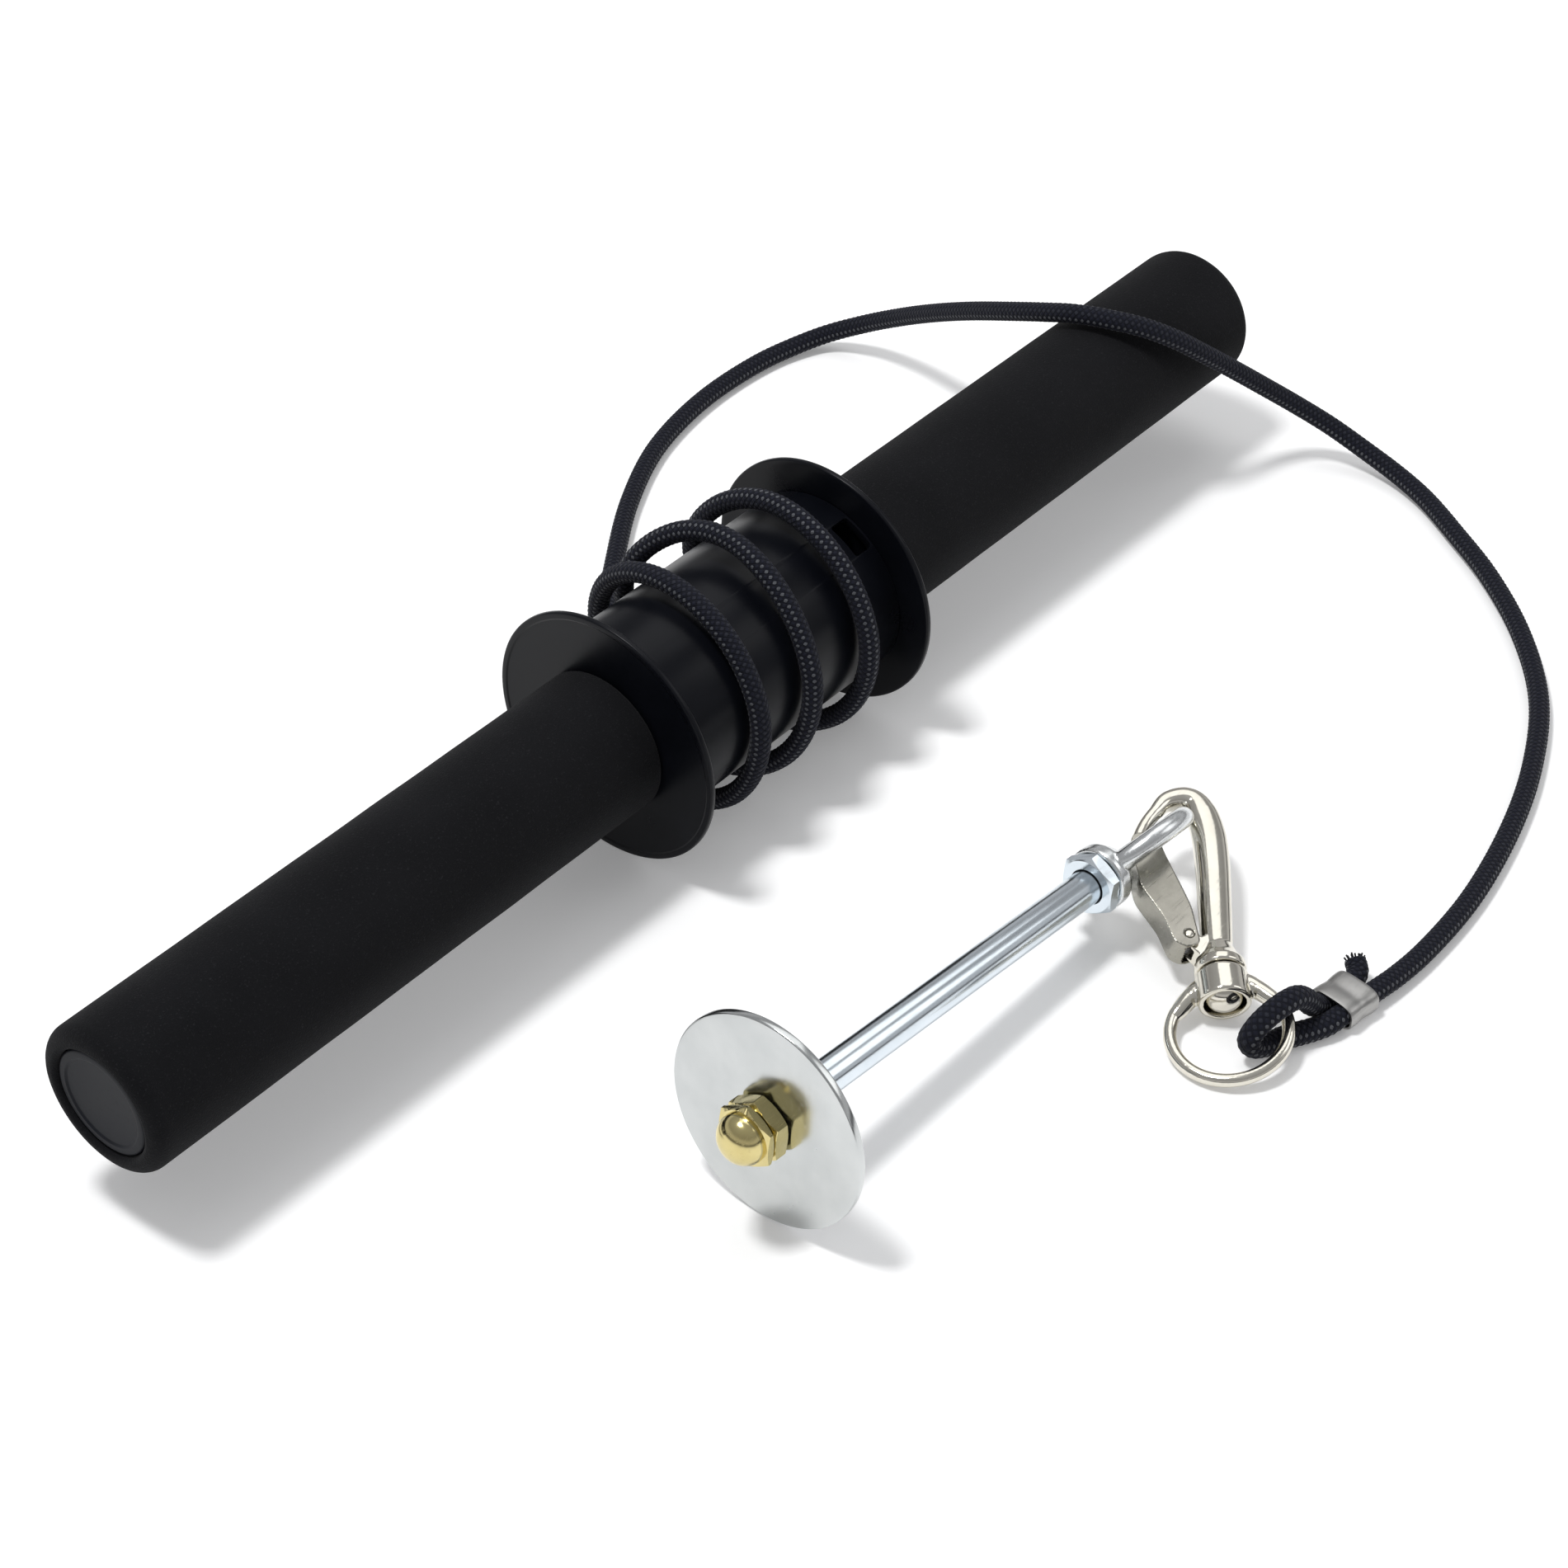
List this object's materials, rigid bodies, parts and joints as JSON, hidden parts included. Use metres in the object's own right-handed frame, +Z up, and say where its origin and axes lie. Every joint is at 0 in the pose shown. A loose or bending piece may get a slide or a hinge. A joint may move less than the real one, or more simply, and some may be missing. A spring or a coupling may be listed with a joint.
{
  "type": "wrist roller",
  "caption": "Foam grip bar with a middle spool whose rope ends in a swivel snap hook, with a loading pin and plate hung from the hook, for winding a weight up.",
  "frame": {"origin": "on the floor, under the middle of the box round all but the cord and its clamp", "axes": "+X along the bar towards its far grip, +Z up from the floor, +Y away from the loading pin"},
  "size_m": [0.3875, 0.2669, 0.0633],
  "materials": {
    "black_foam": "matte closed-cell foam with fine pores",
    "black_plastic": "moulded, glossy",
    "grey_plastic": "moulded, satin",
    "black_cord": "braided polyester cord with light flecks",
    "tube_steel": "drawn, plain",
    "clamp_steel": "rolled, satin",
    "nickel_plate": "nickel plated, warm and bright",
    "zinc_plate": "bright zinc plated, bluish",
    "brass": "plain turned brass"
  },
  "bodies": {
    "rope_line": {"rope_wound": "black_cord", "rope_free": "black_cord", "rope_loop": "black_cord", "rope_tail": "black_cord", "ferrule": "clamp_steel"},
    "roller": {"core_tube": "tube_steel", "left_grip": "black_foam", "right_grip": "black_foam", "left_end_cap": "grey_plastic", "right_end_cap": "grey_plastic", "spool_drum": "black_plastic", "left_flange": "black_plastic", "right_flange": "black_plastic", "rope_knot": "black_cord"},
    "ring": {"swivel_ring": "nickel_plate"},
    "hook": {"swivel_post": "nickel_plate", "hook_body": "nickel_plate", "gate_pin": "nickel_plate", "gate_spring": "tube_steel"},
    "gate_lever": {"gate": "nickel_plate"},
    "loading_pin": {"load_rod": "zinc_plate", "plate_disc": "zinc_plate", "hex_nut": "brass", "dome_nut": "brass", "jam_nut": "zinc_plate", "eye_nut": "zinc_plate"}
  },
  "joints": [
    {"name": "roller_turn", "type": "hinge", "parent": "rope_line", "child": "roller", "pos_m": [0, 0.06433, 0.0313], "axis": [1, 0, 0], "continuous": true, "deforming": ["rope_wound"]},
    {"name": "ring_swing", "type": "hinge", "parent": "rope_line", "child": "ring", "pos_m": [-0.00376, -0.08151, 0.00475], "axis": [-0.242, 0.0153, 0.9702], "range_deg": [-12, 60]},
    {"name": "hook_swivel", "type": "hinge", "parent": "ring", "child": "hook", "pos_m": [0.00735, -0.07147, 0.00736], "axis": [0.7309, 0.6604, 0.1719], "range_deg": [-120, 150]},
    {"name": "gate_open", "type": "hinge", "parent": "hook", "child": "gate_lever", "pos_m": [0.00871, -0.06119, 0.00979], "axis": [0.0235, 0.2274, -0.9735], "range_deg": [0, 15], "stiffness_Nm_per_rad": 0.05, "springref_deg": -20.05, "deforming": ["gate_spring"]},
    {"name": "pin_swing", "type": "hinge", "parent": "hook", "child": "loading_pin", "pos_m": [0.02196, -0.03803, 0.01441], "axis": [0.0623, 0.8081, 0.5858], "range_deg": [-40, 5]}
  ]
}
